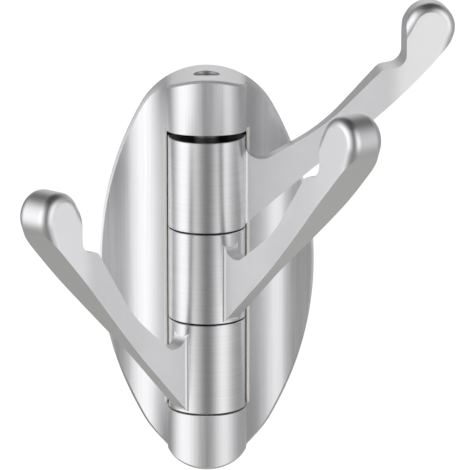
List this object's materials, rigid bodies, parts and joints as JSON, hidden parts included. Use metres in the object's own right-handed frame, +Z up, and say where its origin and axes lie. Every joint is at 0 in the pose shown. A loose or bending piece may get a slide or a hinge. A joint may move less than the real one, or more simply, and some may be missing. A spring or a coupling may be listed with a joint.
{
  "type": "folding wall hook",
  "caption": "Oval wall plate with a half-round column and swinging arms stacked on one hinge pin; each arm rises outward and ends in a rounded, upturned club.",
  "frame": {"origin": "centre of the flat back face, which lies against the wall", "axes": "+Z up along the oval's long axis, +Y into the wall, +X to the right as seen from the room"},
  "size_m": [0.1068, 0.0619, 0.1173],
  "materials": {
    "satin_nickel": "satin, brushed lengthwise on the plate and round the knuckles",
    "pin_steel": "turned steel",
    "bracket_steel": "zinc-plated sheet",
    "washer_dark": "dark plain washer"
  },
  "bodies": {
    "base": {"backplate": "satin_nickel", "wall_bracket": "bracket_steel", "hinge_pin": "pin_steel", "grub_screw": "pin_steel", "upper_washer": "washer_dark", "middle_washer": "washer_dark", "lower_washer": "washer_dark"},
    "upper": {"upper_arm": "satin_nickel"},
    "middle": {"middle_arm": "satin_nickel"},
    "lower": {"lower_arm": "satin_nickel"}
  },
  "joints": [
    {"name": "upper_swing", "type": "hinge", "parent": "base", "child": "upper", "pos_m": [0, -0.0113, 0], "axis": [0, 0, 1], "range_deg": [-190, 0]},
    {"name": "middle_swing", "type": "hinge", "parent": "base", "child": "middle", "pos_m": [0, -0.0113, 0], "axis": [0, 0, 1], "range_deg": [-133.5, 56.5]},
    {"name": "lower_swing", "type": "hinge", "parent": "base", "child": "lower", "pos_m": [0, -0.0113, 0], "axis": [0, 0, 1], "range_deg": [-52, 138]}
  ]
}
